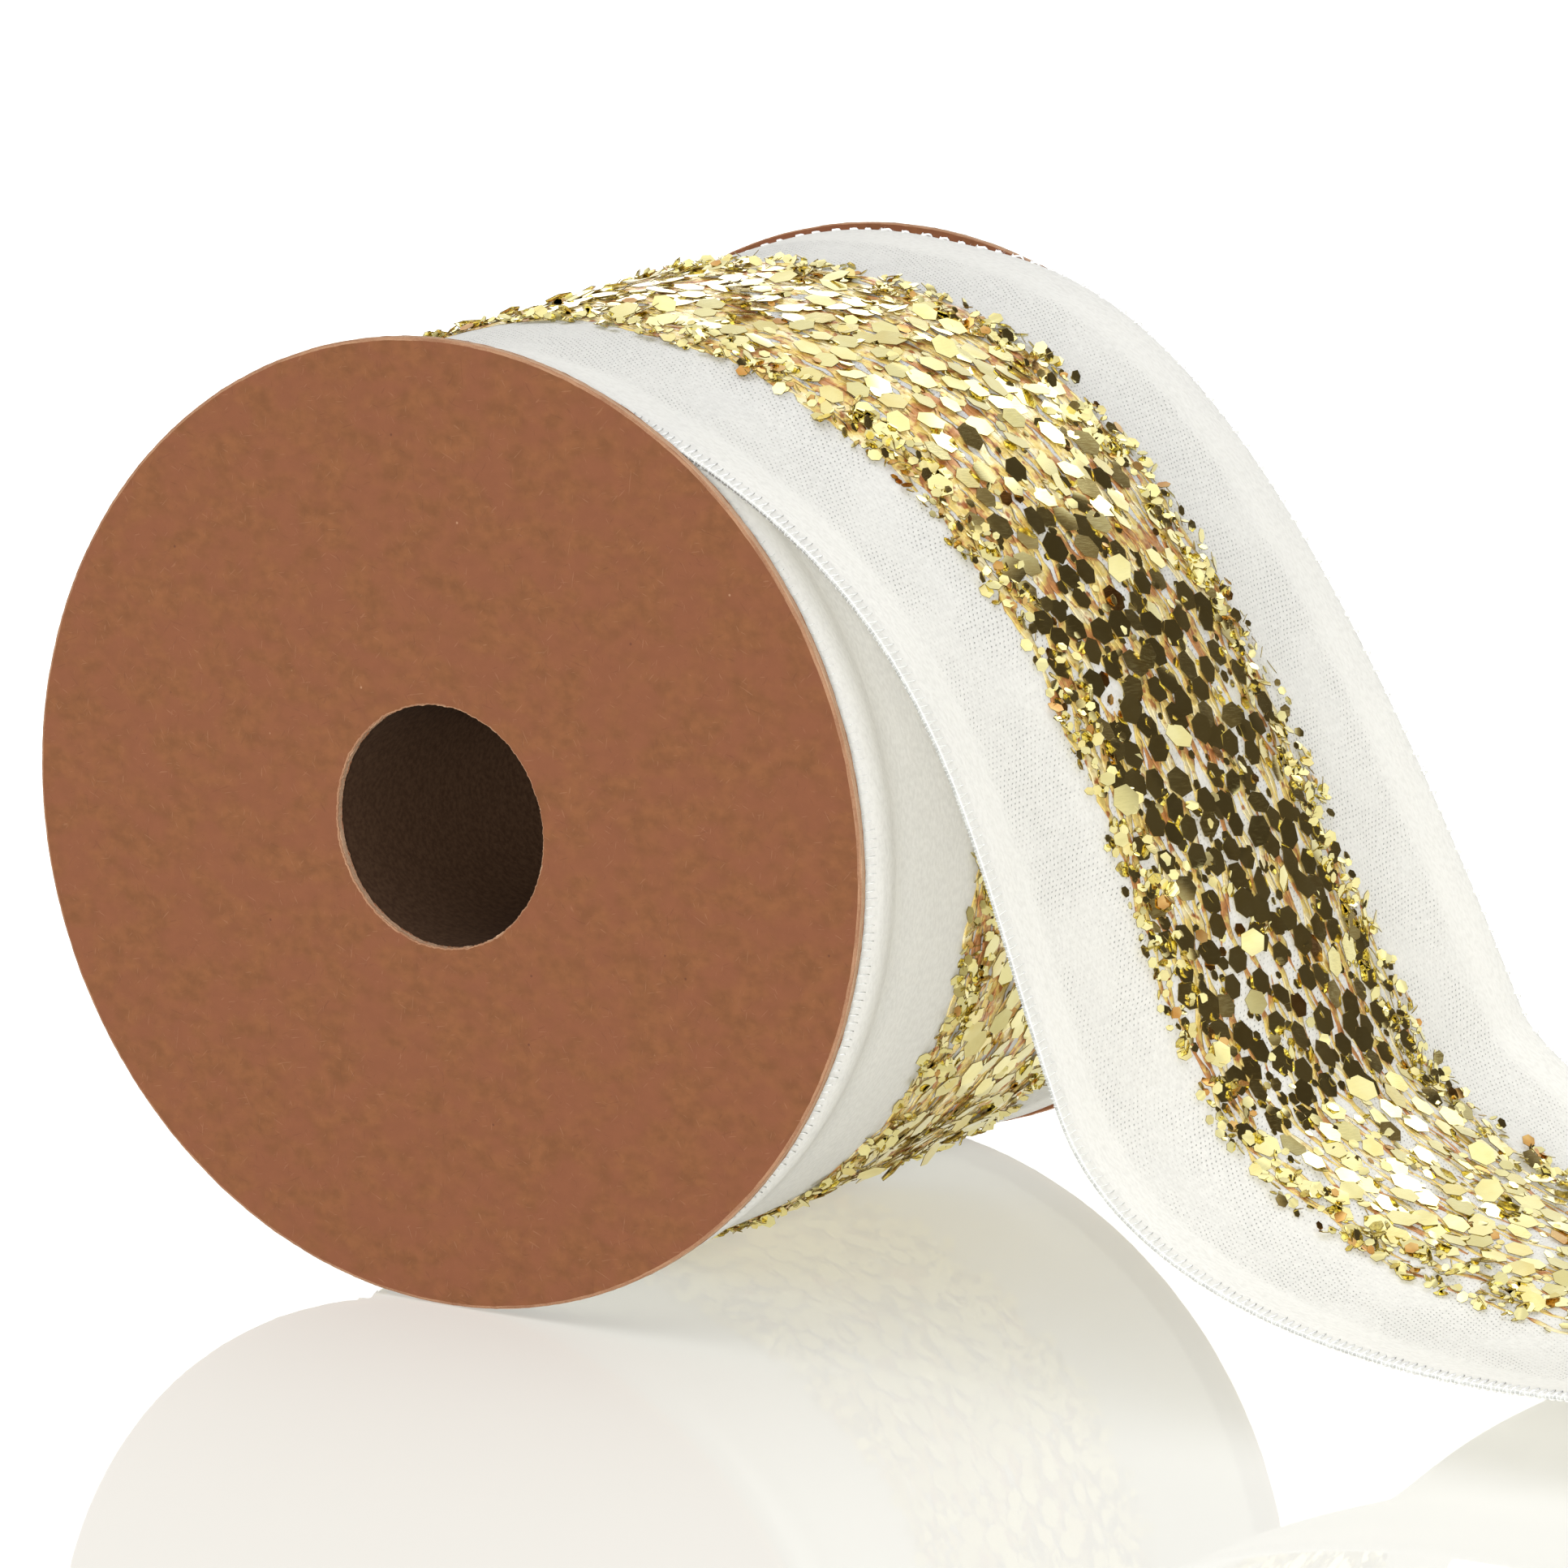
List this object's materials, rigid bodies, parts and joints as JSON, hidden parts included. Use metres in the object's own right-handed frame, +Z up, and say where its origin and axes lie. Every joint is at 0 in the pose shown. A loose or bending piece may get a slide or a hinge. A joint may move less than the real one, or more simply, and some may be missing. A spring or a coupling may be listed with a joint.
{
  "type": "ribbon spool",
  "caption": "Board-flanged spool of wired glitter ribbon, standing on its rims: a loose turn lifts off the roll and runs out as a tail.",
  "frame": {"origin": "bottom centre of the whole, on the surface that the spool and its tail rest on", "axes": "+X along the tail, away from the spool; Y along the spool's axis, with the front flange towards -Y; +Z up"},
  "size_m": [0.16, 0.0686, 0.0761],
  "materials": {
    "kraft_facing": "matte brown kraft paper",
    "flange_board": "cut board edge, tan",
    "core_paper": "matte spiral-wound core paper",
    "glue": "cloudy hot glue",
    "tape": "thin glossy tape",
    "ribbon_fabric": "white plain weave, matte",
    "glitter": "mirror gold metallised film flakes",
    "edge_wire": "fine grey wire"
  },
  "bodies": {
    "loose_ribbon": {"loose_ribbon_fabric": "ribbon_fabric", "loose_glitter_band": "glitter", "loose_front_edge_wire": "edge_wire", "loose_rear_edge_wire": "edge_wire"},
    "spool": {"front_outer_facing": "kraft_facing", "front_flange_board": "flange_board", "front_inner_facing": "kraft_facing", "rear_outer_facing": "kraft_facing", "rear_flange_board": "flange_board", "rear_inner_facing": "kraft_facing", "core_inner_ply": "core_paper", "core_outer_ply": "core_paper", "front_glue_ring": "glue", "rear_glue_ring": "glue", "start_tape": "tape", "wound_ribbon_fabric": "ribbon_fabric", "wound_glitter_band": "glitter", "wound_front_edge_wire": "edge_wire", "wound_rear_edge_wire": "edge_wire"}
  },
  "joints": [
    {"name": "spool_turn", "type": "hinge", "parent": "loose_ribbon", "child": "spool", "pos_m": [-0.04198, 0, 0.03805], "axis": [0, 1, 0], "continuous": true}
  ]
}
